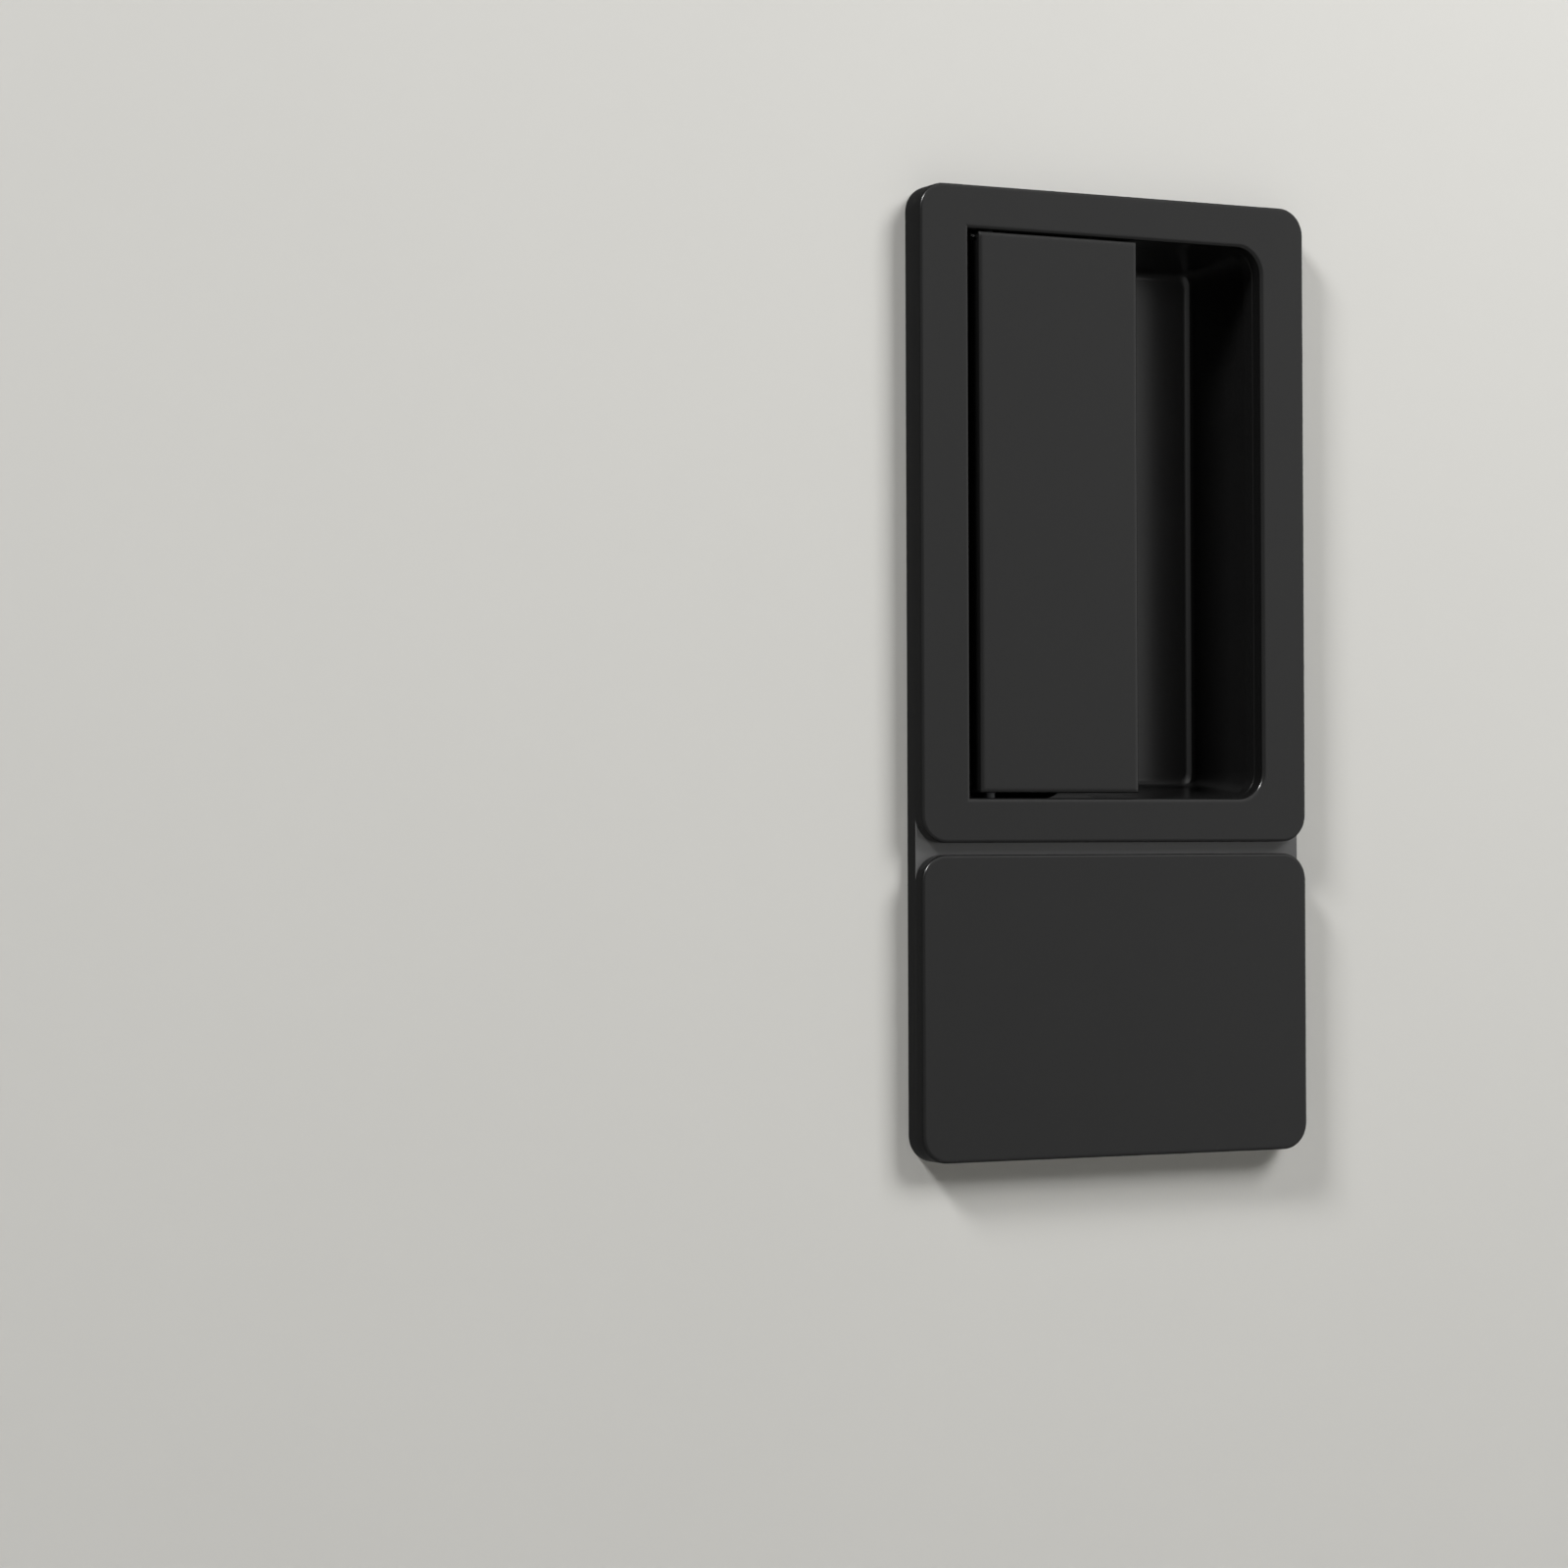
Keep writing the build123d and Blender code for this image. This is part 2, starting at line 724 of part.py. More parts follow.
with BuildPart() as forend_screws:
    for z in forend_screw_places:
        countersunk_screw(
            from_edge(forend_left, z),
            forend_screw_radius,
            forend_screw_head_radius,
            forend_screw_length,
        )
save(forend_screws, "forend_screws")

# Latch bolt: rounded nose with a magnet, a rebate at the rear for the carrier strip
with BuildPart() as latch_bolt:
    with BuildSketch(from_edge(latch_rear, latch_z)):
        Rectangle(bolt_thickness, bolt_height)
    extrude(amount=latch_length)
    nose = latch_bolt.faces().sort_by(Axis.X)[0]
    fillet(nose.edges().filter_by(Axis.Z), latch_nose_radius)
    for side in (latch_bolt.faces().sort_by(Axis.Z)[0], latch_bolt.faces().sort_by(Axis.Z)[-1]):
        fillet(side.edges(), latch_edge_radius)
    with BuildSketch(at_depth(carrier_front)):
        with Locations((latch_rear - carrier_lap / 2, latch_z)):
            Rectangle(carrier_lap, carrier_height)
    extrude(amount=-bolt_thickness, mode=Mode.SUBTRACT)
    with Locations(from_edge(latch_nose, latch_z)):
        Hole(latch_magnet_radius + pin_seat_clearance, latch_magnet_length)
    with BuildSketch(at_depth(carrier_front)):
        with Locations((latch_rear - carrier_lap / 2, latch_z)):
            with GridLocations(rivet_spacing, 0, 2, 1):
                Circle(rivet_radius + pin_seat_clearance)
    extrude(amount=bolt_thickness / 2, mode=Mode.SUBTRACT)
save(latch_bolt, "latch_bolt")

with BuildPart() as latch_magnet:
    with BuildSketch(from_edge(latch_nose + latch_magnet_length, latch_z)):
        Circle(latch_magnet_radius)
    extrude(amount=latch_magnet_length)
    chamfer(latch_magnet.faces().sort_by(Axis.X)[0].edges(), latch_magnet_chamfer)
save(latch_magnet, "latch_magnet")

# Carrier strip with the lug that the drive arm pushes and the ear of the bolt spring
with BuildPart() as latch_carrier:
    with BuildSketch(at_depth(carrier_front)):
        with Locations(((carrier_left + carrier_right) / 2, latch_z)):
            Rectangle(carrier_right - carrier_left, carrier_height)
        with Locations((latch_rear - carrier_lap / 2, latch_z)):
            with GridLocations(rivet_spacing, 0, 2, 1):
                Circle(rivet_radius + pin_seat_clearance, mode=Mode.SUBTRACT)
    extrude(amount=-carrier_thickness)
    with BuildSketch(at_depth(carrier_front)):
        with Locations((lug_left + lug_length / 2, latch_z)):
            Rectangle(lug_length, carrier_height)
    extrude(amount=carrier_front - case_floor - bolt_clearance)
    with BuildSketch(from_edge(ear_left + ear_thickness)):
        with Locations((lock_middle - carrier_front - carrier_thickness, latch_z)):
            Rectangle(
                carrier_front + carrier_thickness - lock_middle + ear_margin,
                ear_rise + ear_margin,
                align=(Align.MIN, Align.MIN),
            )
    extrude(amount=ear_thickness)
    with BuildSketch(from_edge(ear_left + ear_thickness)):
        with Locations((0, guide_z)):
            Circle(guide_radius + pin_seat_clearance)
    extrude(amount=ear_thickness, mode=Mode.SUBTRACT)
save(latch_carrier, "latch_carrier")

with BuildPart() as carrier_rivets:
    with BuildSketch(at_depth(carrier_front + carrier_thickness)):
        with Locations((latch_rear - carrier_lap / 2, latch_z)):
            with GridLocations(rivet_spacing, 0, 2, 1):
                Circle(rivet_radius)
    extrude(amount=carrier_thickness + bolt_thickness / 2 - screw_clearance)
save(carrier_rivets, "carrier_rivets")

with BuildPart() as spring_guide:
    with BuildSketch(from_edge(ear_left + ear_thickness, guide_z)):
        Circle(guide_radius)
    extrude(amount=ear_thickness + guide_length)
    chamfer(spring_guide.faces().sort_by(Axis.X)[0].edges(), guide_chamfer)
save(spring_guide, "spring_guide")

# Light spring that draws the bolt back while no strike pulls it out
with BuildPart() as latch_spring:
    spring_seat = case_left + case_wall + latch_wire / 2 + pin_seat_clearance
    spring_length = ear_left - spring_seat - latch_wire / 2 - pin_seat_clearance
    with BuildLine() as coil:
        Helix(
            spring_length / latch_coil_turns,
            spring_length,
            latch_coil_radius,
            center=(spring_seat, lock_middle, guide_z),
            direction=(1, 0, 0),
        )
    with BuildSketch(Plane(coil.line @ 0, x_dir=(1, 0, 0), z_dir=coil.line % 0)):
        Rectangle(latch_wire, latch_wire)
    sweep(path=coil.line, is_frenet=True)
save(latch_spring, "latch_spring")

# Deadbolt: square head and a tail whose two teeth take the tip of the cam between them
with BuildPart() as deadbolt:
    with BuildSketch(from_edge(deadbolt_rear, deadbolt_z)):
        Rectangle(bolt_thickness, bolt_height)
    extrude(amount=deadbolt_length)
    fillet(deadbolt.faces().sort_by(Axis.X)[0].edges(), deadbolt_edge_radius)
    with BuildSketch(at_depth(lock_middle - tail_thickness / 2)):
        with Locations((deadbolt_rear, deadbolt_z)):
            Rectangle(tail_right - deadbolt_rear, tail_height, align=(Align.MIN, Align.CENTER))
        with Locations((cam_tip_x, tail_low)):
            with GridLocations(2 * fork_half + tooth_width, 0, 2, 1):
                Rectangle(tooth_width, tail_low - tooth_low, align=(Align.CENTER, Align.MAX))
    extrude(amount=-tail_thickness)
save(deadbolt, "deadbolt")

# Profile cylinder, open in the middle for its cam
with BuildPart() as key_cylinder:
    with BuildSketch(at_depth(cylinder_back)):
        cylinder_outline()
    extrude(amount=cylinder_back - cylinder_front)
    chamfer(key_cylinder.faces().sort_by(Axis.Y)[0].edges(), cylinder_chamfer)
    with Locations(Plane(origin=(0, cylinder_front, plug_z), x_dir=(1, 0, 0), z_dir=(0, -1, 0))):
        Hole(plug_radius + shaft_clearance, lock_middle - cylinder_front)
    with BuildSketch(at_depth(lock_middle + cam_gap / 2)):
        with Locations((0, plug_z - cam_hub_radius - cam_hub_room)):
            Rectangle(cam_opening, cam_opening, align=(Align.CENTER, Align.MIN))
    extrude(amount=cam_gap, mode=Mode.SUBTRACT)
    with BuildSketch(from_edge(cylinder_screw_bite, tail_z)):
        Circle(cylinder_screw_radius + pin_seat_clearance)
    extrude(amount=2 * cylinder_radius, mode=Mode.SUBTRACT)
save(key_cylinder, "key_cylinder")

with BuildPart() as cylinder_plug:
    with BuildSketch(at_depth(cam_front)):
        with Locations((0, plug_z)):
            Circle(plug_radius)
    extrude(amount=cam_front - cylinder_front)
    chamfer(cylinder_plug.faces().sort_by(Axis.Y)[0].edges(), cylinder_chamfer)
    with BuildSketch(at_depth(cylinder_front)):
        with Locations((0, plug_z)):
            Rectangle(keyway_width, keyway_height)
        with Locations((keyway_width / 2, plug_z)):
            Rectangle(keyway_ward, keyway_height / 3)
    extrude(amount=-keyway_depth, mode=Mode.SUBTRACT)
save(cylinder_plug, "cylinder_plug")

with BuildPart() as cylinder_cam:
    with BuildSketch(at_depth(cam_front)):
        with Locations((0, plug_z)):
            Circle(cam_hub_radius)
            with PolarLocations(cam_reach / 2, 1, 90 - cam_swing / 2):
                Rectangle(cam_reach, cam_lever_width)
            with PolarLocations(cam_reach, 1, 90 - cam_swing / 2):
                Circle(cam_tip_radius)
    extrude(amount=-cam_length)
save(cylinder_cam, "cylinder_cam")

with BuildPart() as cylinder_screw:
    countersunk_screw(
        from_edge(forend_left, tail_z),
        cylinder_screw_radius,
        cylinder_screw_head_radius,
        cylinder_screw_bite - forend_left,
    )
save(cylinder_screw, "cylinder_screw")
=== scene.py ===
"""Looks of the magnetic door latch, set on a pale door in soft light.

The CAD frame is kept: metres, X to the right, Y into the door and Z up, with the origin on the door face.
"""

import json
import math

import bmesh
import bpy
from mathutils import Matrix, Vector


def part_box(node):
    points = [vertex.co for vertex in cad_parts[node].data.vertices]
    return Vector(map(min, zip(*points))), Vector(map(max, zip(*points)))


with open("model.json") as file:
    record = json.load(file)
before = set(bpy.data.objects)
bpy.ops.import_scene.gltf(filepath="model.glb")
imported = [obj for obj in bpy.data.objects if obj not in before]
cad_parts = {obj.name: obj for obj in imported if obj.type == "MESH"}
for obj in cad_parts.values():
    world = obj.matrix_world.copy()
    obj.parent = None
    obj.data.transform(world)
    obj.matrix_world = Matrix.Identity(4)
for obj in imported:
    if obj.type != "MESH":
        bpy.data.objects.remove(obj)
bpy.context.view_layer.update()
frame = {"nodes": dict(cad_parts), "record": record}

MM = 0.001

# Camera, solved from the edges of the plate, its window and its groove
CAMERA_PLACE = Vector((-352.196, -593.607, 1.674)) * MM
CAMERA_YAW = math.radians(26.2493)
CAMERA_PITCH = math.radians(0.7694)
CAMERA_ROLL = math.radians(-0.1954)
CAMERA_LENS_MM = 94.39
SENSOR_MM = 36

# Stage: the latch sits a metre above the floor, as on a real door
DOOR_SIZE = 3.0
DOOR_GAP = 0.05 * MM
CUTOUT_MARGIN = 2.2 * MM
UPRIGHT = Matrix.Rotation(math.radians(90), 4, "X")
FLOOR_SIZE = 40
FLOOR_DROP = 1.0
FLOOR_GLOW = 0.85

# Light: a key rakes over the door from the upper left, a softbox stands at the upper right
LIT_MIDDLE = Vector((0, 0, 28.7 * MM))
KEY_TOWARDS = Vector((-0.634, -0.352, 0.687))
KEY_DISTANCE = 2.0
KEY_SIZE = 0.4
KEY_POWER = 32
SOFTBOX_TOWARDS = Vector((0.46, -0.68, 0.60))
SOFTBOX_DISTANCE = 1.0
SOFTBOX_SIZE = 0.45
SOFTBOX_POWER = 8.1
# Place, size and power of the lamps behind the door
BACK_LIGHTS = (
    (Vector((-0.75, 0.85, 0.55)), 0.6, 5),
    (Vector((0.8, 0.6, 0.35)), 0.5, 3),
)
AMBIENT = 0.03
BACK_AMBIENT = 0.6
BACK_FADE = 0.3
# Room that gloss mirrors: its level ahead, its rise to the right and upwards, and its limits
MIRRORED = 0.28
MIRRORED_RIGHT = 0.7
MIRRORED_UP = 1.0
MIRRORED_LEAST = 0.28
MIRRORED_MOST = 0.85
BACKGROUND = "e4e3df"

# Powder coat: specular levels, depth of the face painted lighter as a highlight and radius of the paddle's
# soft edges
COAT_GLOSS = 0.5
BASE_GLOSS = 0.72
FACE_SKIN = 0.1 * MM
SOFT_EDGE = 0.9 * MM


def linear(hex_colour):
    """Linear RGBA of an sRGB colour written as six hex digits."""
    channels = [int(hex_colour[i:i + 2], 16) / 255 for i in (0, 2, 4)]
    return [c / 12.92 if c <= 0.04045 else ((c + 0.055) / 1.055) ** 2.4 for c in channels] + [1]


def add(tree, kind, inputs, give=0, **settings):
    """Shader node with its settings and links, as one of its outputs.

    Each input is a value or another node's output.
    """
    made = tree.nodes.new("ShaderNode" + kind)
    for name, value in settings.items():
        setattr(made, name, value)
    for key, value in inputs.items():
        if isinstance(value, bpy.types.NodeSocket):
            tree.links.new(value, made.inputs[key])
        else:
            made.inputs[key].default_value = value
    return made.outputs[give] if made.outputs else None


def start_material(name):
    """Empty material, with its node tree and its object coordinates."""
    material = bpy.data.materials.new(name)
    material.use_nodes = True
    tree = material.node_tree
    tree.nodes.clear()
    return material, tree, add(tree, "TexCoord", {}, "Object")


def powder_coat(name, gloss, face_level=None, soft_edge=None):
    """Powder coat on die-cast zinc; a lighter grey in front of a level as a painted highlight, with edges
    softened by the coat.
    """
    # Baked powder: even satin black, with a faint orange peel in which reflections waver
    material, tree, place = start_material(name)
    cloud = add(tree, "TexNoise", {"Vector": place, "Scale": 1 / (9 * MM)})
    peel = add(tree, "TexNoise", {"Vector": place, "Scale": 1 / (0.7 * MM)})
    colour = add(tree, "Mix", {0: cloud, 6: linear("111111"), 7: linear("141414")}, 2, data_type="RGBA")
    if face_level is not None:
        depth = add(tree, "SeparateXYZ", {"Vector": place}, "Y")
        # Painted highlight: in front of the level the coat turns a lighter grey, standing in for the light
        # that the face's strip catches between frame and cover
        painted_highlight_mask = add(tree, "Math", {0: depth, 1: face_level}, operation="LESS_THAN")
        colour = add(tree, "Mix", {0: painted_highlight_mask, 6: colour, 7: linear("5a5a5a")}, 2, data_type="RGBA")
    relief = add(tree, "Bump", {"Height": peel, "Distance": 0.002 * MM})
    if soft_edge is not None:
        relief = add(tree, "Bevel", {"Radius": soft_edge, "Normal": relief}, samples=8)
    coat = add(tree, "BsdfPrincipled", {
        "Base Color": colour,
        "Roughness": add(tree, "MapRange", {"Value": cloud, "To Min": 0.23, "To Max": 0.28}),
        "Specular IOR Level": gloss,
        "Normal": relief,
    })
    add(tree, "OutputMaterial", {"Surface": coat})
    return material


def galvanised_sheet():
    """Galvanised sheet steel of the lock case."""
    # Zinc dip: pale blue-grey, with soft crystal patches that catch the light a little differently
    material, tree, place = start_material("galvanised sheet steel")
    crystal = add(tree, "TexVoronoi", {"Vector": place, "Scale": 1 / (3 * MM)}, "Color")
    shade = add(tree, "RGBToBW", {"Color": crystal})
    grain = add(tree, "TexNoise", {"Vector": place, "Scale": 1 / (0.4 * MM)})
    colour = add(tree, "Mix", {0: shade, 6: linear("b5b9bb"), 7: linear("bfc2c3")}, 2, data_type="RGBA")
    metal = add(tree, "BsdfPrincipled", {
        "Base Color": colour,
        "Metallic": 1.0,
        "Roughness": add(tree, "MapRange", {"Value": shade, "To Min": 0.40, "To Max": 0.46}),
        "Normal": add(tree, "Bump", {"Height": grain, "Distance": 0.003 * MM}),
    })
    add(tree, "OutputMaterial", {"Surface": metal})
    return material


def drawn_metal(name, first, second, rough, stretch):
    """Metal that was brushed or drawn, with lines along Z that are this many times longer than wide."""
    # Fine parallel lines stretch each highlight across them
    material, tree, place = start_material(name)
    along = add(tree, "Mapping", {"Vector": place, "Scale": (1, 1, 1 / stretch)})
    lines = add(tree, "TexNoise", {"Vector": along, "Scale": 1 / (0.15 * MM), "Detail": 3})
    cloud = add(tree, "TexNoise", {"Vector": place, "Scale": 1 / (6 * MM)})
    colour = add(tree, "Mix", {0: cloud, 6: linear(first), 7: linear(second)}, 2, data_type="RGBA")
    metal = add(tree, "BsdfPrincipled", {
        "Base Color": colour,
        "Metallic": 1.0,
        "Roughness": add(tree, "MapRange", {"Value": lines, "To Min": rough - 0.06, "To Max": rough + 0.08}),
        "Normal": add(tree, "Bump", {"Height": lines, "Distance": 0.0025 * MM}),
    })
    add(tree, "OutputMaterial", {"Surface": metal})
    return material


def plated_metal(name, first, second, rough):
    """Plated or turned metal with slight clouds and fine handling marks."""
    # Even colour, whose gloss varies a little from place to place
    material, tree, place = start_material(name)
    cloud = add(tree, "TexNoise", {"Vector": place, "Scale": 1 / (3 * MM), "Detail": 3})
    marks = add(tree, "TexNoise", {"Vector": place, "Scale": 1 / (0.3 * MM)})
    colour = add(tree, "Mix", {0: cloud, 6: linear(first), 7: linear(second)}, 2, data_type="RGBA")
    metal = add(tree, "BsdfPrincipled", {
        "Base Color": colour,
        "Metallic": 1.0,
        "Roughness": add(tree, "MapRange", {"Value": cloud, "To Min": rough - 0.05, "To Max": rough + 0.07}),
        "Normal": add(tree, "Bump", {"Height": marks, "Distance": 0.0015 * MM}),
    })
    add(tree, "OutputMaterial", {"Surface": metal})
    return material


def buffer_rubber():
    """Moulded rubber of the paddle's buffers."""
    # Dull black with a fine grain
    material, tree, place = start_material("moulded black rubber")
    grain = add(tree, "TexNoise", {"Vector": place, "Scale": 1 / (0.3 * MM)})
    colour = add(tree, "Mix", {0: grain, 6: linear("141414"), 7: linear("1c1c1c")}, 2, data_type="RGBA")
    body = add(tree, "BsdfPrincipled", {
        "Base Color": colour,
        "Roughness": add(tree, "MapRange", {"Value": grain, "To Min": 0.7, "To Max": 0.85}),
        "Normal": add(tree, "Bump", {"Height": grain, "Distance": 0.008 * MM}),
    })
    add(tree, "OutputMaterial", {"Surface": body})
    return material


def door_paint():
    """Paint of the door: clear from behind so that the lock shows, and dark in mirrored light."""
    # Warm pale matt paint with a trace of roller texture
    material, tree, place = start_material("pale door paint")
    fade = add(tree, "TexNoise", {"Vector": place, "Scale": 1 / (60 * MM)})
    roller = add(tree, "TexNoise", {"Vector": place, "Scale": 1 / (1.5 * MM)})
    colour = add(tree, "Mix", {0: fade, 6: linear("d0cfcb"), 7: linear("d2d1cd")}, 2, data_type="RGBA")
    paint = add(tree, "BsdfPrincipled", {
        "Base Color": colour,
        "Roughness": 0.75,
        "Normal": add(tree, "Bump", {"Height": roller, "Distance": 0.004 * MM}),
    })
    dark = add(tree, "Emission", {"Color": linear("50504f")})
    mirrored = add(tree, "LightPath", {}, "Is Glossy Ray")
    front = add(tree, "MixShader", {0: mirrored, 1: paint, 2: dark})
    clear = add(tree, "BsdfTransparent", {})
    behind = add(tree, "NewGeometry", {}, "Backfacing")
    add(tree, "OutputMaterial", {"Surface": add(tree, "MixShader", {0: behind, 1: front, 2: clear})})
    return material


def shaded_door_core():
    """Bare core of the door, darkened as painted shade, which only the eye in front of the door meets."""
    # Fibreboard in painted shade: a dull dark brown that stands in for the shade at the bottom of the slots
    material, tree, place = start_material("fibreboard darkened as painted shade")
    fibre = add(tree, "TexNoise", {"Vector": place, "Scale": 1 / (0.5 * MM)})
    colour = add(tree, "Mix", {0: fibre, 6: linear("14110e"), 7: linear("1b1713")}, 2, data_type="RGBA")
    core = add(tree, "BsdfPrincipled", {
        "Base Color": colour,
        "Roughness": 0.9,
    })
    clear = add(tree, "BsdfTransparent", {})
    seen = add(tree, "LightPath", {}, "Is Camera Ray")
    behind = add(tree, "NewGeometry", {}, "Backfacing")
    before = add(tree, "Math", {0: seen, 1: behind}, operation="SUBTRACT", use_clamp=True)
    add(tree, "OutputMaterial", {"Surface": add(tree, "MixShader", {0: before, 1: clear, 2: core})})
    return material


def floor_paint():
    """Plain pale floor, seen nearly as bright as the backdrop."""
    # Matt screed with faint broad clouds
    material, tree, place = start_material("pale studio floor")
    cloud = add(tree, "TexNoise", {"Vector": place, "Scale": 1 / (200 * MM)})
    colour = add(tree, "Mix", {0: cloud, 6: linear("dad9d5"), 7: linear("dddcd8")}, 2, data_type="RGBA")
    paint = add(tree, "BsdfPrincipled", {
        "Base Color": colour,
        "Roughness": 0.8,
    })
    glow = add(tree, "Emission", {"Color": linear(BACKGROUND)})
    seen = add(tree, "LightPath", {}, "Is Camera Ray")
    share = add(tree, "Math", {0: seen, 1: FLOOR_GLOW}, operation="MULTIPLY")
    add(tree, "OutputMaterial", {"Surface": add(tree, "MixShader", {0: share, 1: paint, 2: glow})})
    return material


def stage_piece(name, shape, material):
    """Stage object made from a finished bmesh."""
    mesh = bpy.data.meshes.new(name)
    shape.to_mesh(mesh)
    shape.free()
    mesh.materials.append(material)
    made = bpy.data.objects.new(name, mesh)
    bpy.context.scene.collection.objects.link(made)
    return made


def in_cutout(low, high):
    """Placing of a unit grid that fills the door's cut-out between two corners."""
    middle = (low + high) / 2
    half = (high - low) / 2
    return (
        Matrix.Translation((middle.x, DOOR_GAP, middle.z))
        @ UPRIGHT
        @ Matrix.Diagonal((half.x - CUTOUT_MARGIN, half.z - CUTOUT_MARGIN, 1, 1))
    )


def build_door():
    """Face of the door: an upright sheet with a cut-out behind the base plate."""
    on_door = Matrix.Translation((0, DOOR_GAP, 0)) @ UPRIGHT
    cutout = in_cutout(*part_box("base_plate"))
    shape = bmesh.new()
    bmesh.ops.create_grid(shape, x_segments=1, y_segments=1, size=DOOR_SIZE / 2, matrix=on_door)
    bmesh.ops.create_grid(shape, x_segments=1, y_segments=1, size=1, matrix=cutout)
    bmesh.ops.delete(shape, geom=list(shape.faces), context="FACES_ONLY")
    bmesh.ops.bridge_loops(shape, edges=list(shape.edges))
    shape.normal_update()
    turned = [face for face in shape.faces if face.normal.y > 0]
    bmesh.ops.reverse_faces(shape, faces=turned)
    stage_piece("door_face", shape, door_paint())


def build_door_core():
    """Core of the door behind the slots of the key cover, a dark sheet that paints the shade in the slots."""
    low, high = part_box("base_plate")
    frame_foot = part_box("face_frame")[0].z
    place = in_cutout(low, Vector((high.x, high.y, frame_foot)))
    shape = bmesh.new()
    bmesh.ops.create_grid(shape, x_segments=1, y_segments=1, size=1, matrix=place)
    stage_piece("shaded_door_core", shape, shaded_door_core())


def build_floor():
    """Wide level floor under the door."""
    shape = bmesh.new()
    bmesh.ops.create_grid(
        shape, x_segments=1, y_segments=1, size=FLOOR_SIZE / 2, matrix=Matrix.Translation((0, 0, -FLOOR_DROP))
    )
    floor = stage_piece("floor", shape, floor_paint())
    floor.visible_glossy = False


def area_light(name, place, size, power):
    """Square soft light at a place, turned to the latch."""
    lamp = bpy.data.lights.new(name, "AREA")
    lamp.size = size
    lamp.energy = power
    made = bpy.data.objects.new(name, lamp)
    made.location = place
    made.rotation_euler = (LIT_MIDDLE - place).to_track_quat("-Z", "Y").to_euler()
    bpy.context.scene.collection.objects.link(made)
    return made


def build_lamps():
    """Key and softbox in front of the door, and two lamps behind it for the lock."""
    area_light("key", LIT_MIDDLE + KEY_TOWARDS.normalized() * KEY_DISTANCE, KEY_SIZE, KEY_POWER)
    softbox_place = LIT_MIDDLE + SOFTBOX_TOWARDS.normalized() * SOFTBOX_DISTANCE
    softbox = area_light("softbox", softbox_place, SOFTBOX_SIZE, SOFTBOX_POWER)
    softbox.visible_glossy = False
    for number, (place, size, power) in enumerate(BACK_LIGHTS):
        area_light(f"back_{number}", place, size, power)


def build_world():
    """Pale backdrop; mirrored in gloss as a room that brightens upwards and to the right."""
    world = bpy.data.worlds.new("studio")
    world.use_nodes = True
    bpy.context.scene.world = world
    tree = world.node_tree
    tree.nodes.clear()
    way = add(tree, "TexCoord", {}, "Generated")
    slope = (MIRRORED_RIGHT, 0, MIRRORED_UP)
    rise = add(tree, "VectorMath", {0: way, 1: slope}, "Value", operation="DOT_PRODUCT")
    room = add(tree, "Math", {0: rise, 1: MIRRORED})
    mirrored = add(tree, "Clamp", {"Value": room, "Min": MIRRORED_LEAST, "Max": MIRRORED_MOST})
    glossy = add(tree, "LightPath", {}, "Is Glossy Ray")
    front = add(tree, "Mix", {0: glossy, 2: AMBIENT, 3: mirrored}, data_type="FLOAT")
    depth = add(tree, "SeparateXYZ", {"Vector": way}, "Y")
    level = add(tree, "MapRange", {
        "Value": depth, "From Min": 0, "From Max": BACK_FADE, "To Min": front, "To Max": BACK_AMBIENT,
    })
    soft = add(tree, "Background", {"Color": (1, 1, 0.99, 1), "Strength": level})
    backdrop = add(tree, "Background", {"Color": linear(BACKGROUND)})
    seen = add(tree, "LightPath", {}, "Is Camera Ray")
    add(tree, "OutputWorld", {"Surface": add(tree, "MixShader", {0: seen, 1: soft, 2: backdrop})})


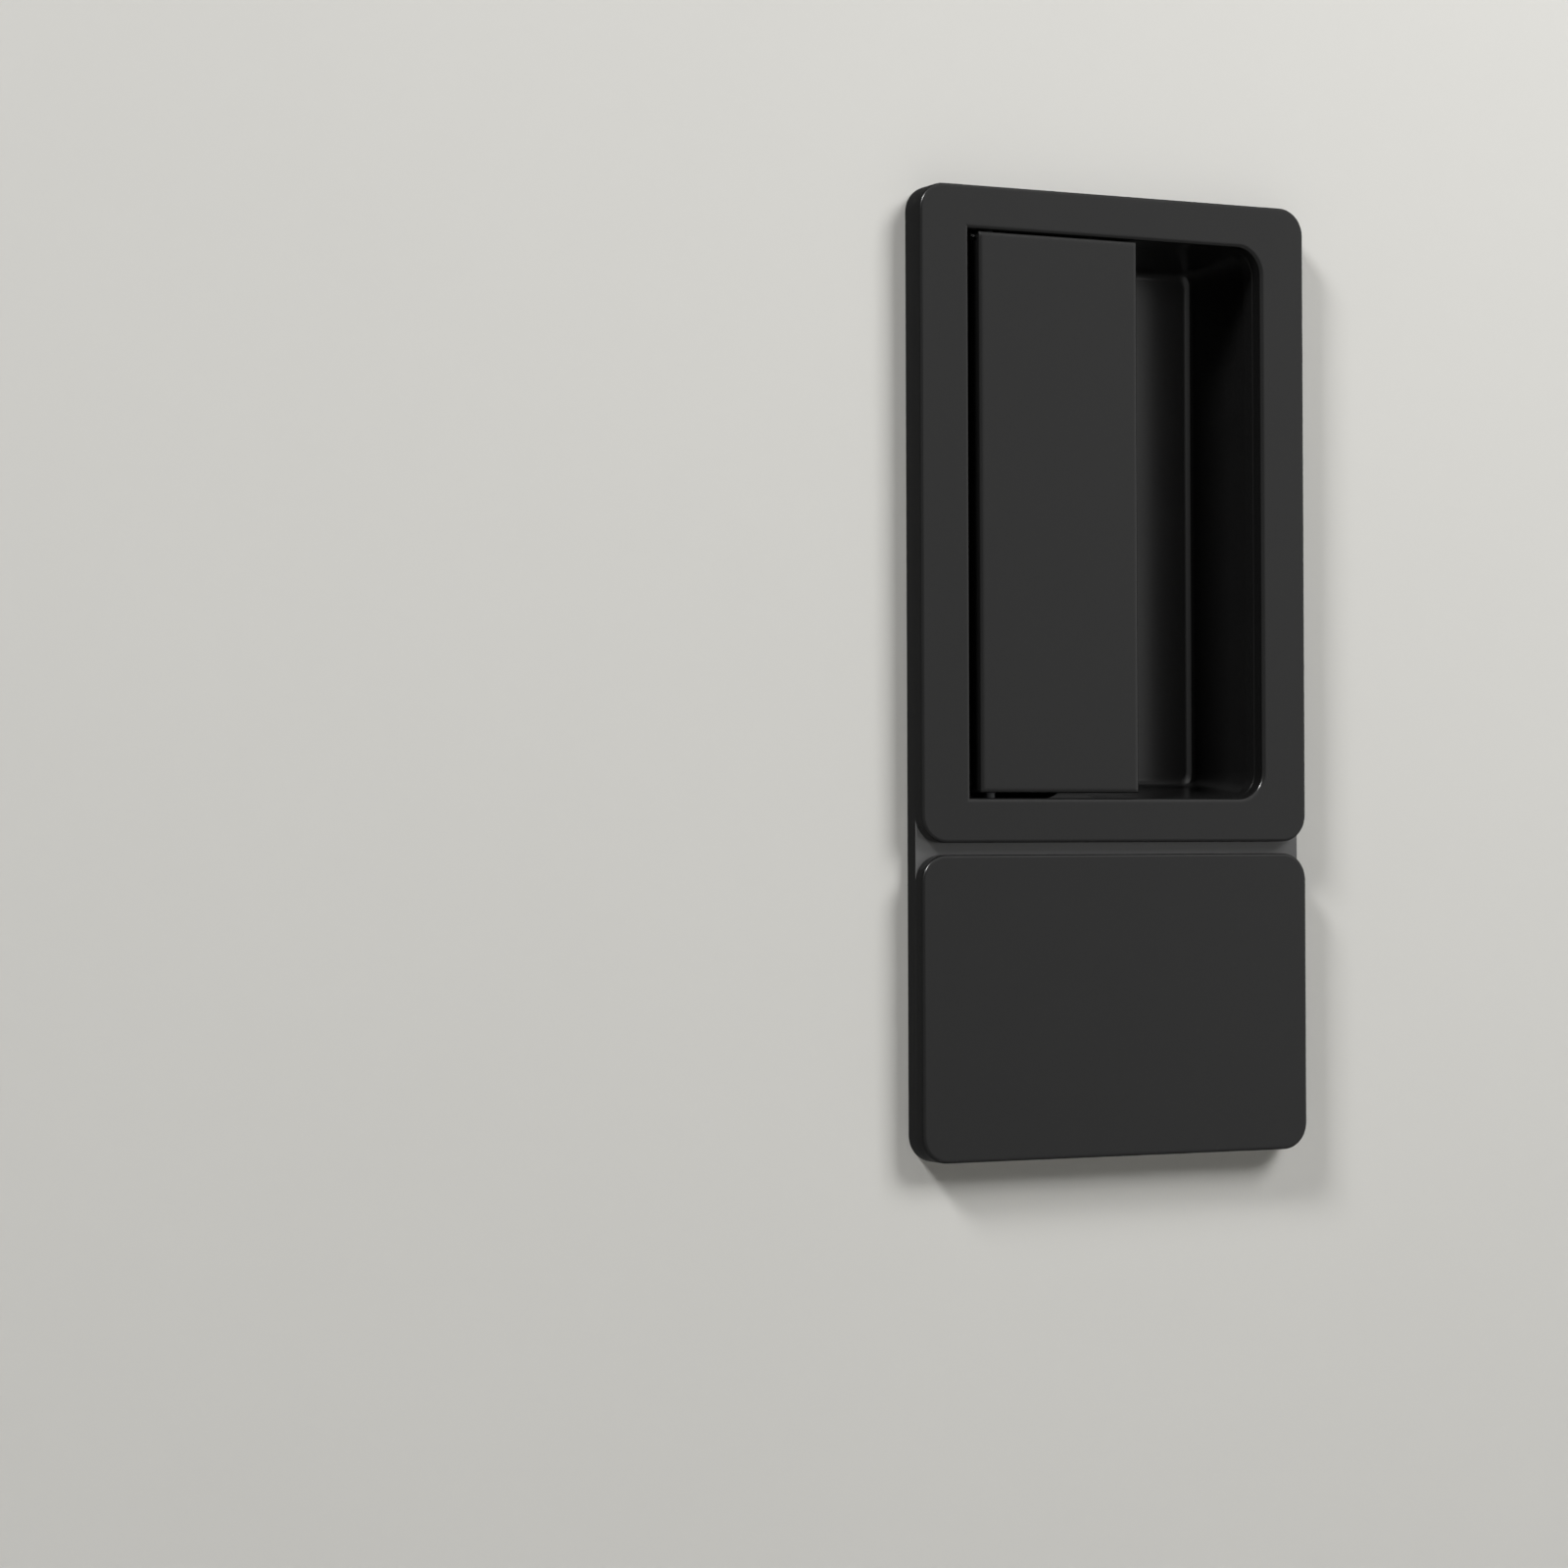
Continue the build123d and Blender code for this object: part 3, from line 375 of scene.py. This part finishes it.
def build_camera():
    """Camera in the place that the photograph was taken from."""
    forward = Vector((
        math.sin(CAMERA_YAW) * math.cos(CAMERA_PITCH),
        math.cos(CAMERA_YAW) * math.cos(CAMERA_PITCH),
        math.sin(CAMERA_PITCH),
    ))
    level_right = Vector((math.cos(CAMERA_YAW), -math.sin(CAMERA_YAW), 0))
    level_up = level_right.cross(forward)
    right = level_right * math.cos(CAMERA_ROLL) + level_up * math.sin(CAMERA_ROLL)
    up = right.cross(forward)
    lens = bpy.data.cameras.new("camera")
    lens.lens = CAMERA_LENS_MM
    lens.sensor_width = SENSOR_MM
    lens.clip_start = 0.01
    camera = bpy.data.objects.new("camera", lens)
    turn = Matrix((right, up, -forward)).transposed().to_4x4()
    camera.matrix_world = Matrix.Translation(CAMERA_PLACE) @ turn
    bpy.context.scene.collection.objects.link(camera)
    bpy.context.scene.camera = camera


FINISHES = {
    "black_coating": powder_coat("satin black powder coat", COAT_GLOSS),
    "case_steel": galvanised_sheet(),
    "forend_steel": drawn_metal("brushed stainless steel", "c6c3bd", "cfccc6", 0.30, 40),
    "bolt_nickel": plated_metal("satin nickel plate", "cbc5b8", "d4cec2", 0.28),
    "magnet_nickel": plated_metal("bright nickel plate", "cfcdc8", "d8d6d1", 0.16),
    "screw_steel": plated_metal("zinc-plated steel", "bcc0c4", "c9ccce", 0.32),
    "spring_steel": drawn_metal("drawn steel wire", "4a4b4c", "565759", 0.45, 1),
    "cylinder_brass": plated_metal("machined brass", "cdb273", "d6be84", 0.27),
    "buffer_rubber": buffer_rubber(),
}
for subpart in frame["record"]["subparts"]:
    piece = frame["nodes"][subpart["node"]]
    piece.data.materials.clear()
    piece.data.materials.append(FINISHES[subpart["material_slot"]])

# The base's front face, seen as a strip between frame and cover, gets a lighter grey: a painted highlight
base_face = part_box("base_plate")[0].y + FACE_SKIN
base_coat = powder_coat("glossier black powder coat, charcoal face", BASE_GLOSS, base_face)
frame["nodes"]["base_plate"].data.materials[0] = base_coat
paddle_coat = powder_coat("satin black powder coat, soft edges", COAT_GLOSS, soft_edge=SOFT_EDGE)
frame["nodes"]["paddle"].data.materials[0] = paddle_coat

build_door()
build_door_core()
build_floor()
build_lamps()
build_world()
build_camera()

bpy.context.scene.view_settings.view_transform = "Standard"
